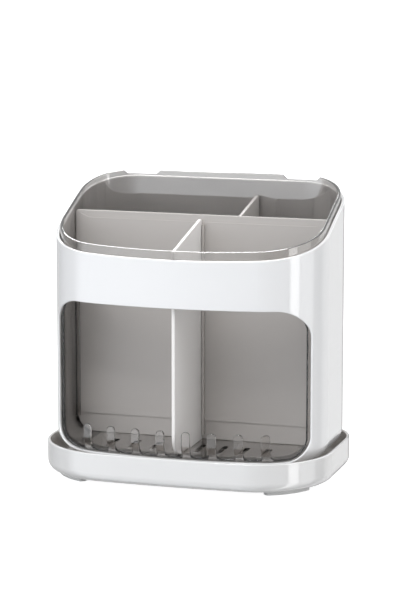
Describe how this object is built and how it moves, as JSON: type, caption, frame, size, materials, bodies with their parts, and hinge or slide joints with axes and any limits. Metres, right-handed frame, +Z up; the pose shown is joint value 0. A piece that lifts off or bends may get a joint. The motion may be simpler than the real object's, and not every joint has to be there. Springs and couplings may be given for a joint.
{
  "type": "cutlery drainer",
  "caption": "Free-standing cutlery drainer: white shell with a front window and a rising rim, clear liner with a comb sill, lift-out partitions and a drip tray on feet.",
  "frame": {"origin": "on the table, under the middle of the drip tray", "axes": "+X to the right seen from the window side, +Y to the back, +Z up"},
  "size_m": [0.2186, 0.153, 0.2174],
  "materials": {
    "gloss_white": "polished white moulding",
    "partition_white": "satin white moulding",
    "smoke_clear": "polished clear moulding, tinted smoke grey",
    "foot_pad": "matt soft pad"
  },
  "bodies": {
    "tray": {"drip_tray": "gloss_white", "foot_front_left": "foot_pad", "foot_front_right": "foot_pad", "foot_rear_left": "foot_pad", "foot_rear_right": "foot_pad"},
    "shell": {"shell": "gloss_white"},
    "liner": {"liner": "smoke_clear"},
    "cross_partition": {"cross_partition": "partition_white"},
    "front_partition": {"front_partition": "partition_white"},
    "rear_divider": {"rear_divider": "partition_white"}
  },
  "joints": [
    {"name": "shell_lift", "type": "slide", "parent": "tray", "child": "shell", "axis": [0, 0, 1], "range_m": [0, 0.05]},
    {"name": "liner_lift", "type": "slide", "parent": "shell", "child": "liner", "axis": [0, 0, 1], "range_m": [0, 0.205]},
    {"name": "cross_partition_lift", "type": "slide", "parent": "liner", "child": "cross_partition", "axis": [0, 0, 1], "range_m": [0, 0.205]},
    {"name": "front_partition_lift", "type": "slide", "parent": "liner", "child": "front_partition", "axis": [0, 0, 1], "range_m": [0, 0.205]},
    {"name": "rear_divider_lift", "type": "slide", "parent": "liner", "child": "rear_divider", "axis": [0, 0, 1], "range_m": [0, 0.205]}
  ]
}
